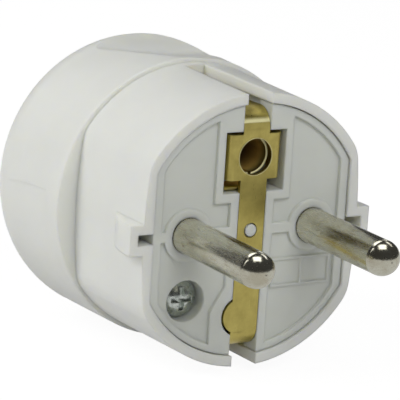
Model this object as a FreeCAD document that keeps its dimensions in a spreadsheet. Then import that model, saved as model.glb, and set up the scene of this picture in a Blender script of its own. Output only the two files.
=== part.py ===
import FreeCAD, Part
import math
import os

import Sketcher

# Earthed mains plug with round pins, an earth strip and a socket for an earth pin.
# Millimetres. The pins point to -Y, +Z is up, and the origin is the middle of the front rim.

SIZES = {
    "rim_radius": 18.7,
    "flat_cut": 2.2,
    "flat_bow_radius": 80.0,
    "corner_radius": 5.0,
    "skirt_draft": 0.42,
    "flat_draft": 0.28,
    "skirt_length": 18.2,
    "rim_wall": 1.4,
    "flat_wall": 1.55,
    "insert_gap": 0.12,
    "insert_recess": 0.4,
    "insert_depth": 12.0,
    "ledge_width": 1.1,
    "cap_step": 0.57,
    "cap_edge_radius": 0.25,
    "cap_taper": 0.38,
    "cap_straight": 14.75,
    "cap_turn_radius": 6.6,
    "cap_turn_drop": 1.35,
    "cap_tail_radius": 10.6,
    "cap_tail_edge": 1.4,
    "housing_length": 50.0,
    "cap_wall": 3.0,
    "cap_back_wall": 2.6,
    "outlet_radius": 4.6,
    "scoop_turn": 5.5,
    "scoop_lip_drop": 0.09,
    "scoop_length": 13.3,
    "scoop_depth": 1.78,
    "scoop_end_radius": 2.5,
    "slot_width": 3.8,
    "slot_setback": 1.3,
    "slot_taper": 0.7,
    "lug_height": 4.1,
    "lug_rise": 1.92,
    "lug_length": 7.6,
    "lug_straight": 1.5,
    "lug_fade_radius": 12.2,
    "lug_wall": 1.15,
    "notch_height": 1.5,
    "notch_depth": 6.0,
    "pin_spacing": 19.0,
    "pin_radius": 2.4,
    "pin_length": 19.0,
    "pin_clearance": 0.03,
    "pin_root_radius": 2.6,
    "pin_groove_radius": 2.1,
    "pin_groove_start": 0.1,
    "pin_head_radius": 3.3,
    "pin_head_length": 8.2,
    "pin_boss_wall": 0.7,
    "wire_hole_radius": 1.6,
    "wire_hole_depth": 6.0,
    "terminal_screw_inset": 3.2,
    "screw_radius": 1.3,
    "screw_clearance": 0.06,
    "terminal_head_radius": 2.1,
    "terminal_head_height": 1.5,
    "terminal_shank": 3.0,
    "face_plate": 3.2,
    "insert_wall": 1.2,
    "border_width": 0.98,
    "border_flat_width": 1.25,
    "panel_depth": 0.5,
    "collar_radius": 3.55,
    "rib_height": 1.4,
    "channel_wall": 1.25,
    "frame_gap": 0.5,
    "frame_top": 4.3,
    "frame_height": 4.05,
    "frame_split_share": 0.49,
    "frame_line": 0.35,
    "frame_rise": 0.25,
    "strip_width": 4.0,
    "strip_sheet": 0.6,
    "strip_front": 0.45,
    "strip_gap": 0.1,
    "strip_bend": 2.8,
    "contact_drop": 2.3,
    "contact_setback": 1.4,
    "contact_tip_drop": 0.3,
    "contact_room_side": 0.7,
    "contact_room_start": 3.5,
    "socket_height": 10.0,
    "socket_hole_radius": 2.48,
    "socket_plate_gap": 0.55,
    "socket_plate_height": 6.2,
    "socket_plate_depth": 3.4,
    "socket_plate_bend": 1.0,
    "pocket_width": 9.3,
    "pocket_bottom": 5.2,
    "pocket_top": 13.5,
    "pocket_depth": 11.0,
    "pocket_wall": 1.1,
    "sleeve_radius": 2.42,
    "sleeve_sheet": 0.32,
    "sleeve_start": 1.9,
    "sleeve_slit": 0.5,
    "stake_hole_radius": 1.0,
    "stake_radius": 0.82,
    "stake_rise": 0.12,
    "ear_offset": 0.9,
    "ear_height": 11.8,
    "ear_radius": 2.4,
    "ear_hole_radius": 2.75,
    "ear_wall": 1.75,
    "ear_wall_rise": 1.0,
    "ear_wall_slant": 3.2,
    "post_radius": 2.2,
    "post_gap": 0.05,
    "post_end": 14.5,
    "post_hole_depth": 6.0,
    "fixing_inset": 5.83,
    "fixing_head_radius": 2.45,
    "fixing_head_height": 1.7,
    "fixing_recess_radius": 2.85,
    "fixing_recess_depth": 2.9,
    "fixing_shank": 14.0,
    "boss_wall": 1.9,
    "boss_length": 10.0,
    "boss_rib": 2.0,
    "boss_end": 1.0,
    "tongue_top": 4.1,
    "tongue_thickness": 1.8,
    "tongue_width": 9.0,
    "tongue_taper": 2.0,
    "clamp_place": 29.0,
    "clamp_length": 5.0,
    "clamp_sheet": 1.6,
    "clamp_bore": 3.8,
    "clamp_seat": 1.0,
    "clamp_ear": 2.2,
    "clamp_head_radius": 1.9,
    "clamp_head_gap": 0.3,
    "clamp_head_height": 1.5,
    "clamp_shank": 5.0,
    "clamp_post_radius": 2.2,
    "drive_width": 0.7,
    "drive_depth": 0.9,
    "head_edge_share": 0.45,
    "cross_share": 0.62,
    "overlap": 1.0,
    "sink": 0.3,
    "inner_edge": 1.0,
}


class Size:
    """A number together with the spreadsheet formula that gives it."""

    def __init__(self, value, text):
        self.value = value
        self.text = text

    def __add__(self, other):
        other = as_size(other)
        return Size(self.value + other.value, f"({self.text} + {other.text})")

    def __sub__(self, other):
        other = as_size(other)
        return Size(self.value - other.value, f"({self.text} - {other.text})")

    def __mul__(self, other):
        other = as_size(other)
        return Size(self.value * other.value, f"({self.text} * {other.text})")

    def __truediv__(self, other):
        other = as_size(other)
        return Size(self.value / other.value, f"({self.text} / {other.text})")

    def __neg__(self):
        return Size(-self.value, f"(-1 * {self.text})")


def as_size(number):
    """Wrap a plain number so that it can stand in a formula."""
    return number if isinstance(number, Size) else Size(float(number), repr(float(number)))


def root(size):
    return Size(math.sqrt(size.value), f"sqrt({size.text})")


def leg(hypotenuse, side):
    """The other side of a right triangle."""
    return root(hypotenuse * hypotenuse - side * side)


def bind(thing, path, size):
    thing.setExpression(path, as_size(size).text)


doc = FreeCAD.newDocument("earthed_plug")
sheet = doc.addObject("Spreadsheet::Sheet", "Sizes")
for row, (word, number) in enumerate(SIZES.items(), start=1):
    sheet.set(f"A{row}", word.replace("_", " "))
    sheet.set(f"B{row}", str(number))
    sheet.setAlias(f"B{row}", word)
doc.recompute()


class Cells:
    """Each alias of the sheet as a Size."""

    def __getattr__(self, word):
        return Size(float(getattr(sheet, word)), f"Sizes.{word}")


cell = Cells()

# Sizes that follow from the sheet's.
rim_flat = cell.rim_radius - cell.flat_cut
skirt_back_radius = cell.rim_radius + cell.skirt_draft
skirt_back_flat = rim_flat + cell.flat_draft
cap_front_radius = skirt_back_radius + cell.cap_step
cap_radius = cap_front_radius + cell.cap_taper
cap_straight_end = cell.skirt_length + cell.cap_straight
lug_reach = rim_flat + cell.lug_rise
insert_radius = cell.rim_radius - cell.rim_wall - cell.insert_gap
insert_flat = rim_flat - cell.flat_wall - cell.insert_gap
panel_radius = insert_radius - cell.border_width
panel_flat = insert_flat - cell.border_flat_width
contact_height = cell.rim_radius - cell.contact_drop
contact_end = cell.skirt_length - cell.contact_setback
fixing_place = (cell.rim_radius - cell.fixing_inset) * root(as_size(0.5))
clamp_screw_place = cell.clamp_bore + cell.clamp_sheet + cell.clamp_head_radius + cell.clamp_head_gap
clamp_half = clamp_screw_place + cell.clamp_ear

SMALLEST_CHANGE = 1e-6
ORIGIN = -1
START, END, CENTRE = range(1, 4)
FRONT = "XZ_Plane"
PLAN = "XY_Plane"
SIDE = "YZ_Plane"


def new_body(name):
    body = doc.addObject("PartDesign::Body", name)
    body.Label = name
    return body


def new_sketch(body, plane, name, offset=0):
    """A sketch on one of the body's own planes, moved along that plane's normal."""
    sketch = body.newObject("Sketcher::SketchObject", name)
    support = next(item for item in body.Origin.OriginFeatures if item.Role == plane)
    sketch.AttachmentSupport = [(support, "")]
    sketch.MapMode = "FlatFace"
    bind(sketch, "AttachmentOffset.Base.z", offset)
    return sketch


def front_sketch(body, name, depth=0):
    """A sketch that faces the pins' side, at a depth behind the rim."""
    return new_sketch(body, FRONT, name, -as_size(depth))


def pin_down(sketch, geometry, point, place):
    """Hold a point of the sketch at two formulas."""
    for kind, size in zip(("DistanceX", "DistanceY"), place):
        size = as_size(size)
        index = sketch.addConstraint(Sketcher.Constraint(kind, ORIGIN, START, geometry, point, size.value))
        bind(sketch, f"Constraints[{index}]", size)


def arc_between(start, end, radius, turn):
    """The arc from start to end that turns left for turn 1 and right for turn -1."""
    chord = (end[0] - start[0], end[1] - start[1])
    half = math.hypot(*chord) / 2
    reach = turn * math.sqrt(max(radius * radius - half * half, 0)) / (2 * half)
    centre = ((start[0] + end[0]) / 2 - chord[1] * reach, (start[1] + end[1]) / 2 + chord[0] * reach)
    first, last = (start, end) if turn > 0 else (end, start)
    angles = [math.atan2(point[1] - centre[1], point[0] - centre[0]) for point in (first, last)]
    if angles[1] <= angles[0]:
        angles[1] += 2 * math.pi
    circle = Part.Circle(FreeCAD.Vector(*centre, 0), FreeCAD.Vector(0, 0, 1), radius)
    return Part.ArcOfCircle(circle, *angles)


def add_outline(sketch, points, arcs=None):
    """A closed outline; arcs gives (radius, turn) for the edge that leaves a point."""
    arcs = arcs or {}
    points = [(as_size(point[0]), as_size(point[1])) for point in points]
    places = [(point[0].value, point[1].value) for point in points]
    ends = []
    for index, place in enumerate(places):
        following = places[(index + 1) % len(places)]
        if index in arcs:
            radius, turn = as_size(arcs[index][0]), arcs[index][1]
            edge = sketch.addGeometry(arc_between(place, following, radius.value, turn))
            number = sketch.addConstraint(Sketcher.Constraint("Radius", edge, radius.value))
            bind(sketch, f"Constraints[{number}]", radius)
            ends.append((edge, START, END) if turn > 0 else (edge, END, START))
        else:
            line = Part.LineSegment(FreeCAD.Vector(*place, 0), FreeCAD.Vector(*following, 0))
            ends.append((sketch.addGeometry(line), START, END))
    for index, point in enumerate(points):
        edge, first, last = ends[index]
        after = ends[(index + 1) % len(ends)]
        sketch.addConstraint(Sketcher.Constraint("Coincident", edge, last, after[0], after[1]))
        pin_down(sketch, edge, first, point)


def add_circle(sketch, across, up, radius):
    across, up, radius = as_size(across), as_size(up), as_size(radius)
    middle = FreeCAD.Vector(across.value, up.value, 0)
    edge = sketch.addGeometry(Part.Circle(middle, FreeCAD.Vector(0, 0, 1), radius.value))
    number = sketch.addConstraint(Sketcher.Constraint("Radius", edge, radius.value))
    bind(sketch, f"Constraints[{number}]", radius)
    pin_down(sketch, edge, CENTRE, (across, up))


def add_box(sketch, left, right, bottom, top):
    add_outline(sketch, [(left, bottom), (right, bottom), (right, top), (left, top)])


def add_flatted_circle(sketch, radius, flat):
    """A circle with a flat at each side."""
    corner = leg(as_size(radius), as_size(flat))
    points = [(flat, -corner), (flat, corner), (-flat, corner), (-flat, -corner)]
    add_outline(sketch, points, {1: (radius, 1), 3: (radius, 1)})


def add_bowed_circle(sketch, radius, flat):
    """A circle with a slightly bowed flat at each side and rounded corners between them."""
    bow = cell.flat_bow_radius
    corner = cell.corner_radius
    beyond = bow - flat
    inner_bow = bow - corner
    inner_radius = radius - corner
    across = (inner_bow * inner_bow - inner_radius * inner_radius - beyond * beyond) / (beyond * 2)
    up = leg(inner_radius, across)
    bow_x = (across + beyond) * bow / inner_bow - beyond
    bow_z = up * bow / inner_bow
    circle_x = across * radius / inner_radius
    circle_z = up * radius / inner_radius
    points = [
        (bow_x, -bow_z),
        (bow_x, bow_z),
        (circle_x, circle_z),
        (-circle_x, circle_z),
        (-bow_x, bow_z),
        (-bow_x, -bow_z),
        (-circle_x, -circle_z),
        (circle_x, -circle_z),
    ]
    radii = [bow, corner, radius, corner] * 2
    add_outline(sketch, points, {index: (size, 1) for index, size in enumerate(radii)})


def volume_of(body):
    return body.Shape.Volume if body.Shape and not body.Shape.isNull() else 0.0


def settle(body, feature, adds):
    """Recompute a feature and make sure that it added to the solid or cut it."""
    before = volume_of(body)
    doc.recompute()
    change = volume_of(body) - before
    if change * (1 if adds else -1) <= SMALLEST_CHANGE:
        raise ValueError(f"{feature.Label} in {body.Label} changed the volume by {change:.4f}")
    return feature


def extrude(body, kind, sketch, length, along, both):
    """A pad or pocket the way the sketch's plane faces (along), the other way, or half each way (both)."""
    feature = body.newObject(f"PartDesign::{kind}", f"{sketch.Label}_{kind.lower()}")
    feature.Profile = sketch
    bind(feature, "Length", length)
    if both:
        feature.Midplane = True
    else:
        feature.Reversed = along == (kind == "Pocket")
    return settle(body, feature, kind == "Pad")


def pad(body, sketch, length, along=False, both=False):
    return extrude(body, "Pad", sketch, length, along, both)


def pocket(body, sketch, length, along=False, both=False):
    return extrude(body, "Pocket", sketch, length, along, both)


def turn(body, kind, sketch, axis="V_Axis"):
    feature = body.newObject(f"PartDesign::{kind}", f"{sketch.Label}_{kind.lower()}")
    feature.Profile = sketch
    feature.ReferenceAxis = (sketch, [axis])
    feature.Angle = 360
    return settle(body, feature, kind == "Revolution")


def make_housing():
    body = new_body("housing")

    # Skirt, between the outline of the front rim and a slightly larger one inside the cap.
    front = front_sketch(body, "skirt_front")
    add_bowed_circle(front, cell.rim_radius, rim_flat)
    behind = front_sketch(body, "skirt_behind", cell.skirt_length + cell.overlap)
    add_bowed_circle(behind, skirt_back_radius, skirt_back_flat)
    skirt = body.newObject("PartDesign::AdditiveLoft", "skirt")
    skirt.Profile = front
    skirt.Sections = [behind]
    skirt.Ruled = True
    settle(body, skirt, True)

    # Guide lugs on both flats, which fade into them towards the cap.
    for side, name in ((1, "right"), (-1, "left")):
        lug = new_sketch(body, PLAN, f"lug_{name}")
        root_place = rim_flat - cell.flat_wall / 2
        points = [
            (root_place * side, 0),
            (lug_reach * side, 0),
            (lug_reach * side, cell.lug_straight),
            (rim_flat * side, cell.lug_length),
            (root_place * side, cell.lug_length),
        ]
        add_outline(lug, points, {2: (cell.lug_fade_radius, side)})
        pad(body, lug, cell.lug_height, both=True)

    # Cap, turned round the plug's axis.
    cap = new_sketch(body, PLAN, "cap")
    turn_end = cap_radius - cell.cap_turn_drop
    turn_reach = leg(cell.cap_turn_radius, cell.cap_turn_radius - cell.cap_turn_drop)
    points = [
        (0, cell.skirt_length),
        (cap_front_radius - cell.cap_edge_radius, cell.skirt_length),
        (cap_front_radius, cell.skirt_length + cell.cap_edge_radius),
        (cap_radius, cap_straight_end),
        (turn_end, cap_straight_end + turn_reach),
        (cell.cap_tail_radius, cell.housing_length - cell.cap_tail_edge),
        (cell.cap_tail_radius - cell.cap_tail_edge, cell.housing_length),
        (0, cell.housing_length),
    ]
    arcs = {1: (cell.cap_edge_radius, 1), 3: (cell.cap_turn_radius, 1), 5: (cell.cap_tail_edge, 1)}
    add_outline(cap, points, arcs)
    turn(body, "Revolution", cap)

    # Finger scoops in the top and the bottom of the cap, turned a little round the plug's axis.
    for side, name in ((1, "top"), (-1, "bottom")):
        scoop = new_sketch(body, SIDE, f"scoop_{name}")
        scoop.AttachmentOffset = FreeCAD.Placement(FreeCAD.Vector(), FreeCAD.Rotation(1, 0, 0, 1))
        bind(scoop, "AttachmentOffset.Rotation.Angle", cell.scoop_turn)
        start = cell.skirt_length - cell.sink
        low_point = cell.skirt_length + cell.scoop_length
        lip = cap_front_radius - cell.scoop_lip_drop
        low = lip - cell.scoop_depth
        above = cap_radius + cell.overlap
        run = leg(cell.scoop_end_radius, cell.scoop_end_radius - above + low)
        points = [
            (start, lip * side),
            (cell.skirt_length, lip * side),
            (low_point, low * side),
            (low_point + run, above * side),
            (start, above * side),
        ]
        add_outline(scoop, points, {2: (cell.scoop_end_radius, side)})
        pocket(body, scoop, cap_radius * 2, both=True)

    # Room for the insert, the ledge behind it, and the wiring chamber in the cap.
    seat = front_sketch(body, "insert_seat")
    add_flatted_circle(seat, cell.rim_radius - cell.rim_wall, rim_flat - cell.flat_wall)
    pocket(body, seat, cell.insert_depth)
    ledge = front_sketch(body, "ledge", cell.insert_depth - cell.overlap)
    ledge_radius = cell.rim_radius - cell.rim_wall - cell.ledge_width
    add_flatted_circle(ledge, ledge_radius, rim_flat - cell.flat_wall - cell.ledge_width)
    pocket(body, ledge, cell.skirt_length - cell.insert_depth + cell.overlap * 3)
    chamber = new_sketch(body, PLAN, "chamber")
    chamber_front = cell.skirt_length + cell.overlap
    chamber_radius = cap_radius - cell.cap_wall
    chamber_back = cell.housing_length - cell.cap_back_wall
    points = [
        (0, chamber_front),
        (chamber_radius - cell.inner_edge, chamber_front),
        (chamber_radius, chamber_front + cell.inner_edge),
        (chamber_radius, cap_straight_end),
        (turn_end - cell.cap_wall, cap_straight_end + turn_reach),
        (cell.cap_tail_radius - cell.cap_wall, chamber_back),
        (cell.outlet_radius, chamber_back),
        (cell.outlet_radius, cell.housing_length + cell.overlap),
        (0, cell.housing_length + cell.overlap),
    ]
    add_outline(chamber, points)
    turn(body, "Groove", chamber)

    # Slots for the earth contacts, narrower behind, and room for the contacts' ends in the ledge.
    for side, name in ((1, "top"), (-1, "bottom")):
        inner = contact_height - cell.strip_sheet * 2
        outer = cap_radius + cell.overlap
        slot = new_sketch(body, PLAN, f"slot_{name}", inner * side)
        half = cell.slot_width / 2 * side
        slot_end = cell.skirt_length - cell.slot_setback
        points = [
            (-half, -cell.overlap),
            (half, -cell.overlap),
            (half - cell.slot_taper * side, slot_end),
            (-half, slot_end),
        ]
        add_outline(slot, points)
        pocket(body, slot, outer - inner, along=side > 0)
        room = front_sketch(body, f"contact_room_{name}", cell.insert_depth)
        wide = cell.strip_width / 2 + cell.contact_room_side
        add_box(room, -wide, wide, inner * side, (insert_radius - cell.insert_gap) * side)
        pocket(body, room, contact_end - cell.insert_depth + cell.strip_gap)

    # Guide notches through the lugs.
    for side, name in ((1, "right"), (-1, "left")):
        notch = front_sketch(body, f"notch_{name}")
        half = cell.notch_height / 2
        inner = (rim_flat - cell.flat_wall - cell.overlap) * side
        outer = (lug_reach - cell.lug_wall) * side
        add_box(notch, inner, outer, -half, half)
        pocket(body, notch, cell.notch_depth)

    # Boss for the fixing screw, with a rib to the wall.
    screw_place = -fixing_place
    boss_radius = cell.screw_radius + cell.boss_wall
    boss = front_sketch(body, "boss", cell.insert_depth)
    add_circle(boss, screw_place, screw_place, boss_radius)
    pad(body, boss, cell.boss_length)
    rib = front_sketch(body, "boss_rib_outline", cell.insert_depth)
    half = cell.boss_rib / 2
    wall_place = leg(cell.rim_radius - cell.rim_wall, fixing_place + half)
    add_box(rib, screw_place - half, screw_place + half, -wall_place - cell.sink, screw_place)
    pad(body, rib, cell.boss_length)
    core = front_sketch(body, "boss_core", cell.insert_depth)
    add_circle(core, screw_place, screw_place, cell.screw_radius + cell.screw_clearance)
    pocket(body, core, cell.boss_length - cell.boss_end)
    return body


def make_insert():
    body = new_body("insert")
    face = cell.insert_recess
    floor = face + cell.panel_depth
    rear = cell.insert_depth
    plate_back = face + cell.face_plate
    half_strip = cell.strip_width / 2 + cell.strip_gap
    column = half_strip + cell.channel_wall
    pocket_half = cell.pocket_width / 2
    pocket_edge = pocket_half + cell.pocket_wall
    leg_inner = contact_height - cell.strip_sheet - cell.contact_tip_drop - cell.strip_gap
    pin_place = cell.pin_spacing / 2
    strip_floor = cell.strip_front + cell.strip_sheet
    screw_place = -fixing_place

    # Front plate with a wall round its edge.
    block = front_sketch(body, "block", floor)
    add_flatted_circle(block, insert_radius, insert_flat)
    pad(body, block, rear - floor)
    hollow = front_sketch(body, "hollow", plate_back)
    add_flatted_circle(hollow, insert_radius - cell.insert_wall, insert_flat - cell.insert_wall)
    pocket(body, hollow, rear)

    # Border of the face.
    border = front_sketch(body, "border", floor)
    add_flatted_circle(border, insert_radius, insert_flat)
    add_flatted_circle(border, panel_radius, panel_flat)
    pad(body, border, cell.panel_depth, along=True)

    # Raised walls round the earth strip, its socket pocket and its round ear.
    column_sketch = front_sketch(body, "channel_walls", floor)
    add_box(column_sketch, -column, column, -panel_radius, cell.pocket_bottom)
    pad(body, column_sketch, cell.panel_depth, along=True)
    pocket_walls = front_sketch(body, "pocket_walls", floor)
    reach = cell.border_width / 3
    points = [
        (-pocket_edge, cell.pocket_bottom - cell.channel_wall),
        (pocket_edge, cell.pocket_bottom - cell.channel_wall),
        (pocket_edge, leg(panel_radius, pocket_edge) + reach),
        (half_strip, panel_radius + reach),
        (-half_strip, panel_radius + reach),
        (-pocket_edge, leg(panel_radius, pocket_edge) + reach),
    ]
    add_outline(pocket_walls, points)
    pad(body, pocket_walls, cell.panel_depth, along=True)
    ear_wall = front_sketch(body, "ear_wall", floor)
    ear_wall_edge = -cell.ear_offset - cell.ear_hole_radius - cell.ear_wall
    ear_wall_top = cell.ear_wall_rise - cell.ear_height
    points = [
        (ear_wall_edge, -leg(panel_radius, -ear_wall_edge) - cell.sink),
        (0, -panel_radius),
        (0, ear_wall_top + cell.ear_wall_slant),
        (-column, ear_wall_top + cell.ear_wall_slant),
        (ear_wall_edge, ear_wall_top),
    ]
    add_outline(ear_wall, points)
    pad(body, ear_wall, cell.panel_depth, along=True)

    # Ribs from the border through the pins' collars to the middle, and the collars.
    ribs = front_sketch(body, "ribs", floor)
    half = cell.rib_height / 2
    add_box(ribs, -panel_flat, panel_flat, -half, half)
    pad(body, ribs, cell.panel_depth, along=True)
    for side, name in ((1, "right"), (-1, "left")):
        collar = front_sketch(body, f"collar_{name}", floor)
        add_circle(collar, pin_place * side, 0, cell.collar_radius)
        pad(body, collar, cell.panel_depth, along=True)
        boss = front_sketch(body, f"pin_boss_{name}", plate_back)
        add_circle(boss, pin_place * side, 0, cell.pin_head_radius + cell.pin_boss_wall)
        pad(body, boss, rear - plate_back)

    # Blank label frame of two fields at the lower right.
    line = cell.frame_line
    frame = front_sketch(body, "frame", floor)
    frame_left = column + cell.frame_gap
    frame_right = panel_flat - cell.frame_gap
    frame_bottom = cell.frame_top + cell.frame_height
    divider = frame_left + (frame_right - frame_left) * cell.frame_split_share
    add_box(frame, frame_left, frame_right, -frame_bottom, -cell.frame_top)
    for left, right in ((frame_left + line, divider), (divider + line, frame_right - line)):
        add_box(frame, left, right, line - frame_bottom, -cell.frame_top - line)
    pad(body, frame, cell.frame_rise, along=True)

    # Blocks behind the plate that back the strip's bent ends, its socket and its ear.
    socket_block = front_sketch(body, "socket_block", plate_back)
    add_box(socket_block, -pocket_edge, pocket_edge, cell.pocket_bottom - cell.channel_wall, leg_inner)
    pad(body, socket_block, rear - plate_back)
    foot_block = front_sketch(body, "foot_block", plate_back)
    foot_half = cell.ear_offset + cell.ear_hole_radius + cell.channel_wall
    foot_top = cell.ear_hole_radius + cell.insert_wall - cell.ear_height
    add_box(foot_block, -foot_half, foot_half, -leg_inner, foot_top)
    pad(body, foot_block, rear - plate_back)
    screw_tube = front_sketch(body, "screw_tube", plate_back)
    add_circle(screw_tube, screw_place, screw_place, cell.screw_radius + cell.boss_wall)
    pad(body, screw_tube, rear - plate_back)

    # Tongue behind the insert that carries the cord clamp.
    clamp_front = cell.clamp_place - cell.clamp_length / 2
    clamp_back = cell.clamp_place + cell.clamp_length / 2
    narrow = cell.tongue_width / 2
    wide = clamp_half
    tongue = new_sketch(body, PLAN, "tongue", -cell.tongue_top - cell.tongue_thickness)
    points = [
        (-narrow, plate_back - cell.sink),
        (narrow, plate_back - cell.sink),
        (narrow, clamp_front - cell.tongue_taper),
        (wide, clamp_front),
        (wide, clamp_back),
        (-wide, clamp_back),
        (-wide, clamp_front),
        (-narrow, clamp_front - cell.tongue_taper),
    ]
    add_outline(tongue, points)
    pad(body, tongue, cell.tongue_thickness, along=True)
    for side, name in ((1, "right"), (-1, "left")):
        post = new_sketch(body, PLAN, f"clamp_post_{name}", -cell.tongue_top)
        add_circle(post, clamp_screw_place * side, cell.clamp_place, cell.clamp_post_radius)
        pad(body, post, cell.tongue_top - cell.clamp_seat, along=True)
        hole = new_sketch(body, PLAN, f"clamp_hole_{name}", -cell.clamp_seat)
        hole_radius = cell.screw_radius + cell.screw_clearance
        add_circle(hole, clamp_screw_place * side, cell.clamp_place, hole_radius)
        pocket(body, hole, cell.tongue_top + cell.tongue_thickness)

    # Pocket for the socket plate, channel for the strip, and gaps for its bent ends.
    socket_pocket = front_sketch(body, "socket_pocket", face)
    add_box(socket_pocket, -pocket_half, pocket_half, cell.pocket_bottom, cell.pocket_top)
    pocket(body, socket_pocket, cell.pocket_depth - face)
    channel = front_sketch(body, "channel", face)
    outside = insert_radius + cell.overlap
    add_box(channel, -half_strip, half_strip, -outside, outside)
    pocket(body, channel, strip_floor - face)
    for side, name in ((1, "top"), (-1, "bottom")):
        gap = front_sketch(body, f"contact_gap_{name}", face)
        bend_start = contact_height - cell.strip_bend - cell.strip_gap
        points = [
            (-half_strip, leg_inner * side),
            (half_strip, leg_inner * side),
            (half_strip, outside * side),
            (-half_strip, outside * side),
        ]
        add_outline(gap, points)
        pocket(body, gap, rear)
        room = front_sketch(body, f"contact_space_{name}", cell.contact_room_start)
        wide = cell.strip_width / 2 + cell.contact_room_side
        add_box(room, -wide, wide, leg_inner * side, outside * side)
        pocket(body, room, rear)
        relief = front_sketch(body, f"bend_relief_{name}", face)
        add_box(relief, -half_strip, half_strip, bend_start * side, (leg_inner + cell.strip_gap) * side)
        pocket(body, relief, strip_floor - face + cell.strip_bend)
    ear_hole = front_sketch(body, "ear_hole", face)
    add_circle(ear_hole, -cell.ear_offset, -cell.ear_height, cell.ear_hole_radius)
    pocket(body, ear_hole, rear)
    stake = front_sketch(body, "stake", strip_floor + cell.sink)
    add_circle(stake, 0, 0, cell.stake_radius)
    pad(body, stake, cell.strip_sheet + cell.stake_rise + cell.sink, along=True)

    # Pin holes, and the recess and hole of the fixing screw.
    for side, name in ((1, "right"), (-1, "left")):
        hole = front_sketch(body, f"pin_hole_{name}", face)
        add_circle(hole, pin_place * side, 0, cell.pin_radius + cell.pin_clearance)
        pocket(body, hole, rear)
        root_hole = front_sketch(body, f"pin_root_hole_{name}", floor)
        add_circle(root_hole, pin_place * side, 0, cell.pin_root_radius + cell.pin_clearance)
        pocket(body, root_hole, rear)
    recess = front_sketch(body, "screw_recess", face)
    add_circle(recess, screw_place, screw_place, cell.fixing_recess_radius)
    pocket(body, recess, cell.fixing_recess_depth)
    hole = front_sketch(body, "screw_hole", face)
    add_circle(hole, screw_place, screw_place, cell.screw_radius + cell.screw_clearance)
    pocket(body, hole, rear)
    return body


def make_pin(name, side):
    body = new_body(name)
    tip = -cell.pin_length
    head_front = cell.insert_depth
    head_back = head_front + cell.pin_head_length
    root_front = cell.insert_recess + cell.panel_depth
    shape = new_sketch(body, PLAN, f"{name}_shape")
    points = [
        (0, tip),
        (cell.pin_radius, tip + cell.pin_radius),
        (cell.pin_radius, cell.insert_recess - cell.pin_groove_start),
        (cell.pin_groove_radius, cell.insert_recess - cell.pin_groove_start),
        (cell.pin_groove_radius, root_front),
        (cell.pin_root_radius, root_front),
        (cell.pin_root_radius, head_front),
        (cell.pin_head_radius, head_front),
        (cell.pin_head_radius, head_back),
        (0, head_back),
    ]
    add_outline(shape, points, {0: (cell.pin_radius, 1)})
    turn(body, "Revolution", shape)
    wire_hole = front_sketch(body, f"{name}_wire_hole", head_back)
    add_circle(wire_hole, 0, 0, cell.wire_hole_radius)
    pocket(body, wire_hole, cell.wire_hole_depth, along=True)
    thread = new_sketch(body, PLAN, f"{name}_screw_hole")
    radius = cell.screw_radius + cell.screw_clearance
    add_circle(thread, 0, head_back - cell.terminal_screw_inset, radius)
    pocket(body, thread, cell.pin_head_radius + cell.overlap, along=True)
    bind(body, "Placement.Base.x", cell.pin_spacing / 2 * side)
    return body


def make_earth_strip():
    body = new_body("earth_strip")
    front = cell.strip_front
    back = front + cell.strip_sheet
    outer = contact_height
    inner = outer - cell.strip_sheet
    bend = cell.strip_bend
    inner_bend = bend - cell.strip_sheet
    end = contact_end

    # Folded strip seen from the side: the face and a contact bent back at each end.
    fold = new_sketch(body, SIDE, "fold")
    points = [
        (front, -outer + bend),
        (front + bend, -outer),
        (end, -outer + cell.contact_tip_drop),
        (end, -inner + cell.contact_tip_drop),
        (front + bend, -inner),
        (back, -outer + bend),
        (back, outer - bend),
        (front + bend, inner),
        (end, inner - cell.contact_tip_drop),
        (end, outer - cell.contact_tip_drop),
        (front + bend, outer),
        (front, outer - bend),
    ]
    arcs = {0: (bend, 1), 4: (inner_bend, -1), 6: (inner_bend, -1), 10: (bend, 1)}
    add_outline(fold, points, arcs)
    pad(body, fold, cell.strip_width, both=True)

    # Socket plate, with its sides bent back.
    half = cell.pocket_width / 2 - cell.socket_plate_gap
    sheet_inner = half - cell.strip_sheet
    bend = cell.socket_plate_bend
    inner_bend = bend - cell.strip_sheet
    depth = cell.socket_plate_depth
    lower = cell.socket_height - cell.socket_plate_height / 2
    plate = new_sketch(body, PLAN, "socket_plate", lower)
    points = [
        (-half + bend, front),
        (half - bend, front),
        (half, front + bend),
        (half, depth),
        (sheet_inner, depth),
        (sheet_inner, front + bend),
        (half - bend, back),
        (-half + bend, back),
        (-sheet_inner, front + bend),
        (-sheet_inner, depth),
        (-half, depth),
        (-half, front + bend),
    ]
    arcs = {1: (bend, 1), 5: (inner_bend, -1), 7: (inner_bend, -1), 11: (bend, 1)}
    add_outline(plate, points, arcs)
    pad(body, plate, cell.socket_plate_height, along=True)

    # Round ear over the earth terminal.
    ear = front_sketch(body, "ear", front)
    add_circle(ear, -cell.ear_offset, -cell.ear_height, cell.ear_radius)
    pad(body, ear, cell.strip_sheet)

    # Socket hole and the hole for the moulded stake.
    for name, height, radius in (
        ("socket_hole", cell.socket_height, cell.socket_hole_radius),
        ("stake_hole", 0, cell.stake_hole_radius),
    ):
        hole = front_sketch(body, name, front - cell.strip_gap)
        add_circle(hole, 0, height, radius)
        pocket(body, hole, cell.strip_sheet + cell.strip_gap * 2)
    return body


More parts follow.
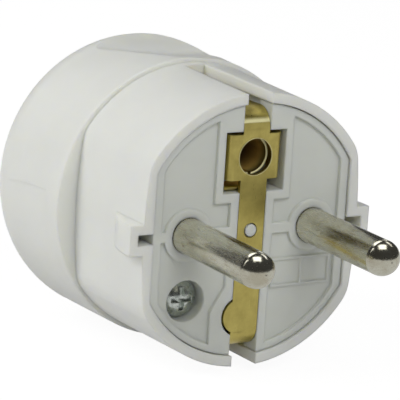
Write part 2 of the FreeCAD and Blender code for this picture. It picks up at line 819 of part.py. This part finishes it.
def make_earth_socket():
    """Rolled spring sleeve that takes the outlet's earth pin."""
    body = new_body("earth_socket")
    ring = front_sketch(body, "ring", cell.sleeve_start)
    add_circle(ring, 0, cell.socket_height, cell.sleeve_radius + cell.sleeve_sheet)
    add_circle(ring, 0, cell.socket_height, cell.sleeve_radius)
    length = cell.pocket_depth - cell.sleeve_start
    pad(body, ring, length)
    slit = front_sketch(body, "slit", cell.sleeve_start)
    half = cell.sleeve_slit / 2
    below = cell.socket_height - cell.sleeve_radius - cell.sleeve_sheet * 2
    add_box(slit, -half, half, below, cell.socket_height)
    pocket(body, slit, length)
    return body


def make_earth_terminal():
    """Brass post behind the strip's ear, with a threaded hole for the screw that holds the wire."""
    body = new_body("earth_terminal")
    start = cell.strip_front + cell.strip_sheet + cell.post_gap
    post = front_sketch(body, "post", start)
    add_circle(post, -cell.ear_offset, -cell.ear_height, cell.post_radius)
    pad(body, post, cell.post_end - start)
    thread = front_sketch(body, "post_thread", cell.post_end)
    radius = cell.screw_radius + cell.screw_clearance
    add_circle(thread, -cell.ear_offset, -cell.ear_height, radius)
    pocket(body, thread, cell.post_hole_depth, along=True)
    return body


def make_screw(name, head_radius, head_height, shank_length, crossed):
    """A screw that stands on its tip side: its head is above Z 0 and its shank below."""
    body = new_body(name)
    shape = new_sketch(body, FRONT, f"{name}_shape")
    edge = head_height * cell.head_edge_share
    crown = head_height - edge
    dome = (head_radius * head_radius + crown * crown) / (crown * 2)
    tip = cell.screw_radius / 2
    points = [
        (0, -shank_length),
        (tip, -shank_length),
        (cell.screw_radius, -shank_length + tip),
        (cell.screw_radius, 0),
        (head_radius, 0),
        (head_radius, edge),
        (0, head_height),
    ]
    add_outline(shape, points, {5: (dome, 1)})
    turn(body, "Revolution", shape)
    half = cell.drive_width / 2
    reach = head_radius * cell.cross_share if crossed else head_radius + cell.overlap
    drives = [(reach, half), (half, reach)] if crossed else [(reach, half)]
    for number, (across, along) in enumerate(drives):
        drive = new_sketch(body, PLAN, f"{name}_drive_{number}", head_height)
        add_box(drive, -across, across, -along, along)
        pocket(body, drive, cell.drive_depth)
    return body


def make_terminal_screw(name, side):
    height = cell.terminal_head_height
    body = make_screw(name, cell.terminal_head_radius, height, cell.terminal_shank, False)
    bind(body, "Placement.Base.x", cell.pin_spacing / 2 * side)
    bind(body, "Placement.Base.y", cell.insert_depth + cell.pin_head_length - cell.terminal_screw_inset)
    bind(body, "Placement.Base.z", cell.pin_head_radius + cell.screw_clearance)
    return body


def make_fixing_screw():
    height = cell.fixing_head_height
    body = make_screw("fixing_screw", cell.fixing_head_radius, height, cell.fixing_shank, True)
    body.Placement.Rotation = FreeCAD.Rotation(FreeCAD.Vector(1, 0, 0), 90)
    bind(body, "Placement.Base.x", -fixing_place)
    bind(body, "Placement.Base.y", cell.insert_recess + cell.fixing_recess_depth)
    bind(body, "Placement.Base.z", -fixing_place)
    return body


def make_earth_terminal_screw():
    height = cell.terminal_head_height
    body = make_screw("earth_terminal_screw", cell.terminal_head_radius, height, cell.terminal_shank, False)
    body.Placement.Rotation = FreeCAD.Rotation(FreeCAD.Vector(1, 0, 0), -90)
    bind(body, "Placement.Base.x", -cell.ear_offset)
    bind(body, "Placement.Base.y", cell.post_end)
    bind(body, "Placement.Base.z", -cell.ear_height)
    return body


def make_cord_clamp():
    """Saddle with an arch over the cord and an ear at each side."""
    body = new_body("cord_clamp")
    seat = -cell.clamp_seat
    top = seat + cell.clamp_sheet
    bore = cell.clamp_bore
    centre = bore - cell.tongue_top
    crown = bore + cell.clamp_sheet
    half = clamp_half
    bore_foot = leg(bore, centre - seat)
    crown_foot = leg(crown, top - centre)
    shape = front_sketch(body, "saddle", cell.clamp_place - cell.clamp_length / 2)
    points = [
        (-half, seat),
        (-bore_foot, seat),
        (bore_foot, seat),
        (half, seat),
        (half, top),
        (crown_foot, top),
        (-crown_foot, top),
        (-half, top),
    ]
    add_outline(shape, points, {1: (bore, -1), 5: (crown, 1)})
    pad(body, shape, cell.clamp_length)
    for side, name in ((1, "right"), (-1, "left")):
        hole = new_sketch(body, PLAN, f"saddle_hole_{name}", top)
        radius = cell.screw_radius + cell.screw_clearance * 2
        add_circle(hole, clamp_screw_place * side, cell.clamp_place, radius)
        pocket(body, hole, cell.clamp_sheet)
    return body


def make_clamp_screw(name, side):
    body = make_screw(name, cell.clamp_head_radius, cell.clamp_head_height, cell.clamp_shank, False)
    bind(body, "Placement.Base.x", clamp_screw_place * side)
    bind(body, "Placement.Base.y", cell.clamp_place)
    bind(body, "Placement.Base.z", cell.clamp_sheet - cell.clamp_seat)
    return body


pieces = [
    make_housing(),
    make_insert(),
    make_pin("pin_left", -1),
    make_pin("pin_right", 1),
    make_terminal_screw("terminal_screw_left", -1),
    make_terminal_screw("terminal_screw_right", 1),
    make_earth_strip(),
    make_earth_socket(),
    make_earth_terminal(),
    make_earth_terminal_screw(),
    make_fixing_screw(),
    make_cord_clamp(),
    make_clamp_screw("cord_clamp_screw_left", -1),
    make_clamp_screw("cord_clamp_screw_right", 1),
]
doc.recompute()

for item in doc.Objects:
    if "Invalid" in item.State or "Error" in item.State:
        raise ValueError(f"{item.Label} did not compute: {item.State}")
for piece in pieces:
    if piece.Shape.isNull() or not piece.Shape.isValid():
        raise ValueError(f"{piece.Label} has no valid shape")
os.makedirs("parts", exist_ok=True)
for piece in pieces:
    piece.Shape.exportStep(f"parts/{piece.Label}.step")
    print(f"{piece.Label}: {len(piece.Shape.Solids)} solid, {piece.Shape.Volume:.1f} mm3")
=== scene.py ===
import math

import bpy
from mathutils import Matrix, Vector, noise
from mathutils.bvhtree import BVHTree


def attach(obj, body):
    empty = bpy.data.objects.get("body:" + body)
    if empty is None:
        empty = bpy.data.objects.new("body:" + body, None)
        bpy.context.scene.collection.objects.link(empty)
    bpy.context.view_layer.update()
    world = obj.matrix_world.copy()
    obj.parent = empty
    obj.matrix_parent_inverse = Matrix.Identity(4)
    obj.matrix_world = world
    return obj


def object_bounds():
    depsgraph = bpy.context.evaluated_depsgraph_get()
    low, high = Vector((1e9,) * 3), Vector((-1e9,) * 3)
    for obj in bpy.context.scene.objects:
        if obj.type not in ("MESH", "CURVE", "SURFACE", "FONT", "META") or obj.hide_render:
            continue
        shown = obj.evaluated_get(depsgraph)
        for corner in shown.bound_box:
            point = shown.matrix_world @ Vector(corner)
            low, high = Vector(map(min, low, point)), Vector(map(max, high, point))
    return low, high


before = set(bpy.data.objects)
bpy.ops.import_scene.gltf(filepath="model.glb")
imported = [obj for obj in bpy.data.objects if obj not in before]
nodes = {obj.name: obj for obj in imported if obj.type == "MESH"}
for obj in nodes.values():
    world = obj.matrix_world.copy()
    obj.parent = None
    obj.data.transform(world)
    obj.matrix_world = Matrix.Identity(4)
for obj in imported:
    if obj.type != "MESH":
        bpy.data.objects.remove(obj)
cad_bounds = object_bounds()
MM = 0.001

# Camera: fitted to the pins and the rim in the photo, which is 400 pixels wide.
CAMERA_AZIMUTH = math.radians(-31.195)
CAMERA_ELEVATION = math.radians(14.132)
CAMERA_ROLL = math.radians(3.668)
CAMERA_DISTANCE = 368.017 * MM
CAMERA_SHIFT = (-6.902 * MM, 4.105 * MM)
CAMERA_CLIP = (0.01, 20)
FOCAL_PIXELS = 2783.417
PHOTO_WIDTH = 400
SENSOR = 36.0

# Studio: strengths where 1 shows as white. In the photo the metal mirrors a dark room over a grey
# table. Places and sizes are in metres, power in watts.
ROOM_LIGHT = 0.34
ROOM_MIRROR = 0.05
FLOOR_HALF = 3.0
FLOOR_SEEN = 0.93
FLOOR_MIRROR = 0.5
FLOOR_WHITE = 0.7
FLOOR_SHADE = 0.12
# name, place, aim, size, power, and whether only mirrored (True) or only as light (False)
LAMPS = (
    ("key", (-0.6, 0.28, 0.37), (0, 0.01, 0), (0.5, 0.5), 3.05, False),
    ("fill", (-0.02, -0.25, 0.22), (0, 0, 0), (0.2, 0.16), 0.4, False),
    ("overhead", (-0.02, -0.04, 0.6), (0, 0, 0), (0.42, 0.36), 1.05, True),
    ("strip_right", (0.4, 0.17, 0.4), (0, 0, 0), (0.3, 0.08), 0.15, True),
    ("strip_left", (-0.4, 0.34, 0.3), (0, 0, 0), (0.1, 0.35), 0.22, True),
)

# Colours: the plain one and the one that it drifts to.
HOUSING_COLOURS = ((0.80, 0.81, 0.77), (0.78, 0.79, 0.75))
INSERT_COLOURS = ((0.70, 0.72, 0.668), (0.67, 0.69, 0.64))
NICKEL_COLOURS = ((0.70, 0.69, 0.58), (0.58, 0.55, 0.43))
NICKEL_SCUFF = (0.56, 0.50, 0.39)
BRASS_COLOURS = ((0.71, 0.60, 0.185), (0.55, 0.45, 0.13))
# A pale colour painted on the earth strip as a highlight: across the bend, on the hole's rim and on
# the sleeve's front edge.
BRASS_PAINTED_HIGHLIGHT = (1.0, 0.95, 0.54)
# Painted shade in the earth socket: orange-brown at its mouth, nearly black deeper in.
BRASS_PAINTED_SHADE = ((0.9, 0.62, 0.16), (0.14, 0.045, 0.01))
ZINC_COLOURS = ((0.76, 0.80, 0.75), (0.5, 0.54, 0.5))

# The Mix node's sockets for the factor, both colours and the result, and the Bevel node's samples.
MIX_INPUTS = (0, 6, 7)
MIX_RESULT = 2
BEVEL_SAMPLES = 6

# Surfaces: how deep light scatters in the plastic by colour, and the heights of marks, both in
# millimetres.
SCATTER_DEPTH = 1.6
SCATTER_COLOUR = (1.0, 0.93, 0.6)
FINE_MARKS = 0.012
SINK_WAVES = 0.4
PLATING_WAVES = 0.08

# The cap's hollow sides in millimetres: the middle along Y, half the length and height, the depth.
HOLLOW_PLACE = 26.6
HOLLOW_HALF = (6.4, 9.5)
HOLLOW_DEPTH = 0.5

# The turned shoulder behind each pin's tip in millimetres: its ends along Y, and its drop. Then how
# much rougher the pin is behind it and where it is scuffed.
SHOULDER = (-17.0, -16.5)
SHOULDER_DROP = 0.2
SHOULDER_ROUGH = 0.08
SCUFF_ROUGH = 0.12

# The earth strip in millimetres: its sharp bend by height, the band of painted highlight there,
# and the depths of the painted highlight on the edge around the plate's hole, of the painted
# highlight on the front edge of the sleeve inside it, and of the painted shade in the socket.
# Places with painted highlight or painted shade lose some of the metal's mirror.
BEND_START = 13.7
BEND_EDGE = 14.55
BEND_RADIUS = 2.8
HIGHLIGHT_BAND = (14.5, 14.65, 14.9, 15.3)
BURR = (0.4, 0.44)
BURR_HIGHLIGHT_LEVEL = 0.5
LIP = (1.7, 1.72, 1.8, 1.9)
LIP_ACROSS = (2.9, 3.0)
INSIDE_BELOW = (13.2, 13.4)
INSIDE_START = (2.0, 3.5)
INSIDE_SHADE_FADE = (3.0, 8.0)
HIGHLIGHT_DULL = -0.9
INSIDE_DULL = -0.5

# The earth socket's leaf and rings in millimetres and degrees.
SOCKET_HEIGHT = 10.0
LEAF_CENTRE = (2.5, 7.2)
LEAF_RADIUS = 1.8
LEAF_SHEET = 0.3
LEAF_TURN = (222, 318)
LEAF_ACROSS = (-4.0, 2.0)
LEAF_STEPS = 24
RING_TURNS = 96
RING_SIDES = 10
# name, place along Y, radius, thickness and the gap at the bottom
RINGS = (
    ("socket_hole_burr", 0.43, 2.53, 0.07, 0.02),
    ("sleeve_lip", 1.9, 2.58, 0.17, 0.5),
)

# The mould's flash in millimetres: half its width, the steps along it, the steps in which its ends
# fade, and its edges under the surface as a share of the rise. The rise has a share that is always
# there and one that noise moves. A ray from far outside finds the surface, and the line on the cap
# bows up less and less over the last length.
FLASH_HALF = 0.09
FLASH_STEP = 0.25
FLASH_FADE = 8
FLASH_SINK = -0.5
FLASH_UNEVEN = (0.65, 0.5)
FLASH_NOISE = (0.6, 5)
FLASH_OUTSIDE = 40
FLASH_BOW = 6
# name, both ends along Y, the rise over the surface and how far the line bows up
FLASHES = (
    ("skirt_flash", 8.2, 17.9, 0.005, 0),
    ("cap_flash", 21.5, 34.0, 0.01, 1.9),
)
SHARP_FROM = math.radians(50)


def make_camera():
    """The photo's viewing direction: a camera that looks at the origin, then moved sideways."""
    a, e, r = CAMERA_AZIMUTH, CAMERA_ELEVATION, CAMERA_ROLL
    back = Vector((math.sin(a) * math.cos(e), -math.cos(a) * math.cos(e), math.sin(e)))
    right = Vector((math.cos(a), math.sin(a), 0))
    up = back.cross(right)
    tilted_right = math.cos(r) * right + math.sin(r) * up
    tilted_up = math.cos(r) * up - math.sin(r) * right
    place = back * CAMERA_DISTANCE + tilted_right * CAMERA_SHIFT[0] + tilted_up * CAMERA_SHIFT[1]
    data = bpy.data.cameras.new("camera")
    data.sensor_width = SENSOR
    data.lens = SENSOR * FOCAL_PIXELS / PHOTO_WIDTH
    data.clip_start, data.clip_end = CAMERA_CLIP
    camera = bpy.data.objects.new("camera", data)
    bpy.context.scene.collection.objects.link(camera)
    axes = Matrix((tilted_right, tilted_up, back)).transposed().to_4x4()
    camera.matrix_world = Matrix.Translation(place) @ axes
    bpy.context.scene.camera = camera


class Material:
    """A node material built from short calls. Places along an axis are in metres, as Blender gives
    them; radii, heights and the ends of a step are in millimetres."""

    def __init__(self, name):
        self.data = bpy.data.materials.new(name)
        self.data.use_nodes = True
        self.tree = self.data.node_tree
        self.shader = self.tree.nodes["Principled BSDF"]
        self.output = self.tree.nodes["Material Output"]
        self.place = self.node("ShaderNodeTexCoord").outputs["Object"]

    def node(self, kind, **settings):
        made = self.tree.nodes.new(kind)
        for key, value in settings.items():
            setattr(made, key, value)
        return made

    def link(self, source, target):
        self.tree.links.new(source, target)

    def put(self, target, value):
        """Link a socket, or set a plain number or colour."""
        if isinstance(value, bpy.types.NodeSocket):
            self.link(value, target)
        elif hasattr(target.default_value, "__len__") and len(value) == 3:
            target.default_value = (*value, 1) if len(target.default_value) == 4 else value
        else:
            target.default_value = value

    def math(self, operation, *values, clamp=False):
        made = self.node("ShaderNodeMath", operation=operation, use_clamp=clamp)
        for target, value in zip(made.inputs, values):
            self.put(target, value)
        return made.outputs[0]

    def noise(self, scale, detail, roughness=0.5, stretch=(1, 1, 1)):
        """Noise in object space; scale is in features per millimetre."""
        mapping = self.node("ShaderNodeMapping")
        self.link(self.place, mapping.inputs["Vector"])
        mapping.inputs["Scale"].default_value = [scale * part / MM for part in stretch]
        made = self.node("ShaderNodeTexNoise")
        self.link(mapping.outputs[0], made.inputs["Vector"])
        made.inputs["Scale"].default_value = 1
        made.inputs["Detail"].default_value = detail
        made.inputs["Roughness"].default_value = roughness
        return made.outputs["Fac"]

    def along(self, axis):
        """The object's own X, Y or Z in metres."""
        split = self.node("ShaderNodeSeparateXYZ")
        self.link(self.place, split.inputs[0])
        return split.outputs[axis]

    def spread(self, value, low, high, start=0.0, end=1.0):
        """Map the range low to high onto start to end, clamped."""
        made = self.node("ShaderNodeMapRange")
        made.inputs["From Min"].default_value = low
        made.inputs["From Max"].default_value = high
        self.put(made.inputs["To Min"], start)
        self.put(made.inputs["To Max"], end)
        self.link(value, made.inputs["Value"])
        return made.outputs["Result"]

    def step(self, place, ends, start=0.0, end=1.0):
        """Go from start to end between two places on an axis, the ends in millimetres."""
        return self.spread(place, ends[0] * MM, ends[1] * MM, start, end)

    def mix(self, factor, first, second):
        """A colour between two; several sockets of the node share a name, so these go by number."""
        made = self.node("ShaderNodeMix", data_type="RGBA")
        for socket, value in zip(MIX_INPUTS, (factor, first, second)):
            self.put(made.inputs[socket], value)
        return made.outputs[MIX_RESULT]

    def rounded(self, radius):
        """The normal of edges worn round by this radius."""
        made = self.node("ShaderNodeBevel", samples=BEVEL_SAMPLES)
        made.inputs["Radius"].default_value = radius * MM
        return made.outputs["Normal"]

    def bump(self, height, distance, normal, strength=1.0):
        """Marks as high as the distance, over the given normal."""
        made = self.node("ShaderNodeBump")
        made.inputs["Distance"].default_value = distance * MM
        made.inputs["Strength"].default_value = strength
        self.link(height, made.inputs["Height"])
        self.link(normal, made.inputs["Normal"])
        return made.outputs["Normal"]

    def set(self, **values):
        for key, value in values.items():
            self.put(self.shader.inputs[key.replace("_", " ")], value)


def hollow_sides(material, normal):
    """Shallow round hollows in both sides of the cap, over the given normal."""
    length, height = HOLLOW_HALF
    along = material.math(
        "MULTIPLY_ADD", material.along("Y"), 1 / length / MM, -HOLLOW_PLACE / length,
    )
    above = material.math("MULTIPLY", material.along("Z"), 1 / height / MM)
    apart = material.math("MULTIPLY_ADD", along, along, material.math("MULTIPLY", above, above))
    inside = material.math("SUBTRACT", 1.0, apart, clamp=True)
    level = material.math("MULTIPLY", inside, material.math("MULTIPLY", inside, -1.0))
    return material.bump(level, HOLLOW_DEPTH, normal=normal)


def plastic(name, colours, rough, edge, scatter=0.5, hollow=False):
    """Moulded plastic: faint colour drift, uneven gloss, slow sink waves and soft edges."""
    material = Material(name)
    drift = material.spread(material.noise(scale=0.12, detail=3), low=0.35, high=0.65)
    gloss = material.noise(scale=0.5, detail=4)
    gloss = material.spread(gloss, low=0.3, high=0.7, start=rough - 0.04, end=rough + 0.06)
    waves = material.noise(scale=0.13, detail=1)
    grain = material.noise(scale=2.2, detail=2)
    normal = material.rounded(edge)
    normal = material.bump(waves, SINK_WAVES, strength=0.3, normal=normal)
    if hollow:
        normal = hollow_sides(material, normal)
    material.set(
        Base_Color=material.mix(drift, *colours),
        Roughness=gloss,
        Normal=material.bump(grain, FINE_MARKS, strength=0.2, normal=normal),
        Specular_IOR_Level=0.5,
        Subsurface_Weight=scatter,
        Subsurface_Radius=SCATTER_COLOUR,
        Subsurface_Scale=SCATTER_DEPTH * MM,
    )
    return material.data


def nickel(name):
    """Nickel plate with drawing marks along the pin, brownish rubbed patches and fine scratches."""
    material = Material(name)
    drawn = material.noise(scale=5, detail=3, stretch=(1, 0.06, 1))
    patches = material.noise(scale=0.3, detail=5, roughness=0.6)
    patches = material.spread(patches, low=0.42, high=0.66)
    scuffs = material.noise(scale=2.4, detail=6, roughness=0.7, stretch=(1, 0.25, 1))
    scuffs = material.spread(scuffs, low=0.52, high=0.7)
    colour = material.mix(patches, *NICKEL_COLOURS)
    shoulder = material.step(material.along("Y"), SHOULDER)
    gloss = material.spread(drawn, low=0.3, high=0.7, start=0.12, end=0.22)
    rough = material.math("MULTIPLY_ADD", shoulder, SHOULDER_ROUGH, gloss)
    rough = material.math("MULTIPLY_ADD", scuffs, SCUFF_ROUGH, rough)
    turned = material.bump(shoulder, SHOULDER_DROP, normal=material.rounded(radius=0.25))
    material.set(
        Base_Color=material.mix(scuffs, colour, NICKEL_SCUFF),
        Metallic=1.0,
        Roughness=rough,
        Normal=material.bump(drawn, FINE_MARKS, strength=0.3, normal=turned),
    )
    return material.data


def brass(name):
    """Rolled brass sheet: rolling marks, tarnish, a painted highlight on the bend and rims, and
    painted shade deep in the socket.
    """
    material = Material(name)
    across = material.math("ABSOLUTE", material.along("X"))
    inward = material.along("Y")
    upward = material.along("Z")
    height = material.math("ABSOLUTE", upward)

    rolled = material.noise(scale=6, detail=4, stretch=(1, 1, 0.08))
    tarnish = material.noise(scale=0.35, detail=5, roughness=0.65)
    tarnish = material.spread(tarnish, low=0.36, high=0.7)
    colour = material.mix(tarnish, *BRASS_COLOURS)

    bent = material.step(height, (BEND_START, BEND_EDGE), start=0.0, end=BEND_EDGE - BEND_START)
    flat = material.math("MULTIPLY", material.math("MULTIPLY", bent, bent), 0.5 / BEND_RADIUS)
    edges = material.bump(flat, distance=1.0, normal=material.rounded(radius=0.14))

    # Painted highlight: a pale, less metallic band across the bend made uneven by noise, and the
    # same on the rims of the plate's hole and of the sleeve.
    lower = material.step(upward, HIGHLIGHT_BAND[:2])
    upper = material.step(height, HIGHLIGHT_BAND[2:], start=1.0, end=0.0)
    highlight_unevenness = material.noise(scale=1.1, detail=3)
    highlight_unevenness = material.spread(highlight_unevenness, low=0.3, high=0.7, start=0.85, end=1.0)
    painted_highlight = material.math("MULTIPLY", material.math("MULTIPLY", lower, upper), highlight_unevenness)
    burr_highlight = material.step(inward, BURR, start=BURR_HIGHLIGHT_LEVEL, end=0.0)
    painted_highlight = material.math("MAXIMUM", painted_highlight, burr_highlight)

    inside = material.step(height, INSIDE_BELOW, start=1.0, end=0.0)
    behind = material.step(inward, LIP[:2])
    before = material.step(inward, LIP[2:], start=1.0, end=0.0)
    beside = material.step(across, LIP_ACROSS, start=1.0, end=0.0)
    lip_highlight = material.math("MULTIPLY", material.math("MULTIPLY", behind, before), beside)
    painted_highlight = material.math("MAXIMUM", painted_highlight, material.math("MULTIPLY", lip_highlight, inside))

    # Painted shade: deeper in, the socket turns orange-brown, then nearly black, and less metallic.
    painted_shade_mask = material.math("MULTIPLY", material.step(inward, INSIDE_START), inside)
    painted_shade = material.mix(material.step(inward, INSIDE_SHADE_FADE), *BRASS_PAINTED_SHADE)
    metal = material.math("MULTIPLY_ADD", painted_shade_mask, INSIDE_DULL, 1.0)
    material.set(
        Base_Color=material.mix(painted_highlight, material.mix(painted_shade_mask, colour, painted_shade), BRASS_PAINTED_HIGHLIGHT),
        Metallic=material.math("MULTIPLY_ADD", painted_highlight, HIGHLIGHT_DULL, metal),
        Roughness=material.spread(rolled, low=0.3, high=0.7, start=0.27, end=0.42),
        Normal=material.bump(rolled, FINE_MARKS, strength=0.4, normal=edges),
    )
    return material.data


def zinc(name):
    """Zinc-plated steel with a mottled, slightly blue-green bloom."""
    material = Material(name)
    mottle = material.noise(scale=1.6, detail=4, roughness=0.6)
    mottle = material.spread(mottle, low=0.35, high=0.65)
    waves = material.noise(scale=2.2, detail=3)
    edges = material.rounded(radius=0.2)
    material.set(
        Base_Color=material.mix(mottle, *ZINC_COLOURS),
        Metallic=1.0,
        Roughness=material.spread(mottle, low=0.0, high=1.0, start=0.16, end=0.3),
        Normal=material.bump(waves, PLATING_WAVES, strength=0.35, normal=edges),
    )
    return material.data


housing_plastic = plastic("housing_plastic", HOUSING_COLOURS, rough=0.33, edge=0.42, hollow=True)
flash_plastic = plastic("flash_plastic", HOUSING_COLOURS, rough=0.33, edge=0.02, scatter=0.0)
insert_plastic = plastic("insert_plastic", INSERT_COLOURS, rough=0.36, edge=0.4)
nickel_plate = nickel("nickel")
brass_sheet = brass("brass")
zinc_steel = zinc("zinc_steel")
for material, names in (
    (housing_plastic, ("housing",)),
    (insert_plastic, ("insert",)),
    (nickel_plate, ("pin_left", "pin_right")),
    (brass_sheet, ("earth_strip", "earth_socket", "earth_terminal")),
    (zinc_steel, (
        "terminal_screw_left", "terminal_screw_right", "earth_terminal_screw", "fixing_screw",
        "cord_clamp", "cord_clamp_screw_left", "cord_clamp_screw_right",
    )),
):
    for name in names:
        nodes[name].data.materials.clear()
        nodes[name].data.materials.append(material)


def add_piece(name, points, faces, material):
    """A smooth closed mesh that rides with the plug."""
    mesh = bpy.data.meshes.new(name)
    mesh.from_pydata(points, [], faces)
    mesh.polygons.foreach_set("use_smooth", [True] * len(mesh.polygons))
    mesh.set_sharp_from_angle(angle=SHARP_FROM)
    mesh.materials.append(material)
    piece = bpy.data.objects.new(name, mesh)
    bpy.context.scene.collection.objects.link(piece)
    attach(piece, "root")


def make_flash(name, side, start, end, flash_rise, lift):
    """A faint ridge of flash where the mould's halves met; on the cap it bows up by the lift."""
    mesh = nodes["housing"].data
    corners = [vertex.co for vertex in mesh.vertices]
    tree = BVHTree.FromPolygons(corners, [list(polygon.vertices) for polygon in mesh.polygons])
    count = round((end - start) / FLASH_STEP)
    points = []
    for index in range(count + 1):
        place = start + (end - start) * index / count
        bow = lift * (1 - math.exp((place - end) / FLASH_BOW))
        outside = Vector((side * FLASH_OUTSIDE, place, bow)) * MM
        hit, normal, _, _ = tree.ray_cast(outside, Vector((-side, 0, 0)))
        fade = min(1.0, index / FLASH_FADE, (count - index) / FLASH_FADE)
        wave = noise.noise(Vector((place * FLASH_NOISE[0], side * FLASH_NOISE[1], 0)))
        rise = flash_rise * fade * (FLASH_UNEVEN[0] + FLASH_UNEVEN[1] * wave)
        sink = flash_rise * FLASH_SINK
        for across, up in ((-1, sink), (0, rise), (1, sink)):
            points.append(hit + normal * up * MM + Vector((0, 0, across * FLASH_HALF * MM)))
    faces = [(0, 1, 2), tuple(3 * count + corner for corner in (2, 1, 0))]
    for index in range(count):
        base = 3 * index
        for corner in range(3):
            following = (corner + 1) % 3
            faces.append((
                base + corner, base + 3 + corner, base + 3 + following, base + following,
            ))
    add_piece(name, points, faces, flash_plastic)


def make_ring(name, place, radius, thick, gap):
    """A round burr on the rim of the earth socket, open at the bottom by the gap."""
    opening = gap / radius / 2
    points = []
    for turn in range(RING_TURNS + 1):
        angle = -math.pi / 2 + opening + (2 * math.pi - 2 * opening) * turn / RING_TURNS
        for side in range(RING_SIDES):
            around = 2 * math.pi * side / RING_SIDES
            out = radius + thick * math.cos(around)
            points.append(Vector((
                out * math.cos(angle),
                place + thick * math.sin(around),
                SOCKET_HEIGHT + out * math.sin(angle),
            )) * MM)
    last = RING_TURNS * RING_SIDES
    faces = [tuple(reversed(range(RING_SIDES))), tuple(last + side for side in range(RING_SIDES))]
    for turn in range(RING_TURNS):
        for side in range(RING_SIDES):
            a, b = turn * RING_SIDES + side, turn * RING_SIDES + (side + 1) % RING_SIDES
            faces.append((a, b, b + RING_SIDES, a + RING_SIDES))
    add_piece(name, points, faces, brass_sheet)


def make_leaf(name):
    """The earth socket's lower spring leaf, a brass trough in the pocket under the plate."""
    start, end = LEAF_TURN
    points = []
    for across in LEAF_ACROSS:
        for offset in (LEAF_SHEET / 2, -LEAF_SHEET / 2):
            for step in range(LEAF_STEPS + 1):
                angle = math.radians(start + (end - start) * step / LEAF_STEPS)
                out = LEAF_RADIUS + offset
                points.append(Vector((
                    across,
                    LEAF_CENTRE[0] + out * math.cos(angle),
                    LEAF_CENTRE[1] + out * math.sin(angle),
                )) * MM)
    count = LEAF_STEPS + 1
    outline = list(range(count)) + list(reversed(range(count, 2 * count)))
    faces = [tuple(outline), tuple(2 * count + corner for corner in reversed(outline))]
    for index, corner in enumerate(outline):
        following = outline[(index + 1) % len(outline)]
        faces.append((following, corner, corner + 2 * count, following + 2 * count))
    add_piece(name, points, faces, brass_sheet)


def make_floor():
    """A plain pale floor: white to the camera, grey in reflections, and it takes a faint shadow."""
    height = cad_bounds[0][2]
    mesh = bpy.data.meshes.new("floor")
    signs = ((-1, -1), (1, -1), (1, 1), (-1, 1))
    corners = [(x * FLOOR_HALF, y * FLOOR_HALF, height) for x, y in signs]
    mesh.from_pydata(corners, [], [(0, 1, 2, 3)])
    floor = bpy.data.objects.new("floor", mesh)
    bpy.context.scene.collection.objects.link(floor)
    material = Material("floor")
    path = material.node("ShaderNodeLightPath").outputs
    mirrored = material.math("MAXIMUM", path["Is Glossy Ray"], path["Is Transmission Ray"])
    seen = material.math("MAXIMUM", path["Is Camera Ray"], mirrored)
    strength = material.math("MULTIPLY", path["Is Camera Ray"], FLOOR_SEEN)
    strength = material.math("MULTIPLY_ADD", mirrored, FLOOR_MIRROR, strength)
    glow = material.node("ShaderNodeEmission")
    material.put(glow.inputs["Color"], (1, 1, 1))
    material.link(strength, glow.inputs["Strength"])
    pick = material.node("ShaderNodeMixShader")
    material.link(seen, pick.inputs[0])
    for target, grey in ((pick.inputs[1], FLOOR_WHITE), (pick.inputs[2], FLOOR_SHADE)):
        matt = material.node("ShaderNodeBsdfDiffuse")
        material.put(matt.inputs["Color"], (grey, grey, grey))
        material.link(matt.outputs[0], target)
    both = material.node("ShaderNodeAddShader")
    material.link(pick.outputs[0], both.inputs[0])
    material.link(glow.outputs[0], both.inputs[1])
    material.link(both.outputs[0], material.output.inputs["Surface"])
    material.tree.nodes.remove(material.shader)
    floor.data.materials.append(material.data)


def make_world():
    """White to the camera, a dim even room as light, and darker still in reflections."""
    world = bpy.data.worlds.new("studio")
    bpy.context.scene.world = world
    world.use_nodes = True
    tree = world.node_tree
    background = tree.nodes["Background"]
    background.inputs["Color"].default_value = (1, 1, 1, 1)
    path = tree.nodes.new("ShaderNodeLightPath").outputs

    def number(operation, *values):
        made = tree.nodes.new("ShaderNodeMath")
        made.operation = operation
        for socket, value in zip(made.inputs, values):
            if isinstance(value, bpy.types.NodeSocket):
                tree.links.new(value, socket)
            else:
                socket.default_value = value
        return made.outputs[0]

    mirrored = number("MAXIMUM", path["Is Glossy Ray"], path["Is Transmission Ray"])
    plain = number("SUBTRACT", 1.0, number("MAXIMUM", mirrored, path["Is Camera Ray"]))
    total = number("MULTIPLY_ADD", plain, ROOM_LIGHT, path["Is Camera Ray"])
    total = number("MULTIPLY_ADD", mirrored, ROOM_MIRROR, total)
    tree.links.new(total, background.inputs["Strength"])


def make_lamp(name, place, aim, size, watts, mirrored):
    """A soft box that either lights the surfaces or is only seen mirrored in them."""
    data = bpy.data.lights.new(name, "AREA")
    data.shape = "RECTANGLE"
    data.size, data.size_y = size
    data.energy = watts
    lamp = bpy.data.objects.new(name, data)
    lamp.visible_glossy = mirrored
    lamp.visible_diffuse = not mirrored
    bpy.context.scene.collection.objects.link(lamp)
    place, aim = Vector(place), Vector(aim)
    turn = (place - aim).to_track_quat("Z", "Y")
    lamp.matrix_world = Matrix.Translation(place) @ turn.to_matrix().to_4x4()


make_camera()
for side, word in ((-1, "left"), (1, "right")):
    for name, *line in FLASHES:
        make_flash(f"{name}_{word}", side, *line)
make_leaf("socket_leaf")
for ring in RINGS:
    make_ring(*ring)
make_floor()
make_world()
for lamp in LAMPS:
    make_lamp(*lamp)
bpy.context.scene.view_settings.view_transform = "Standard"
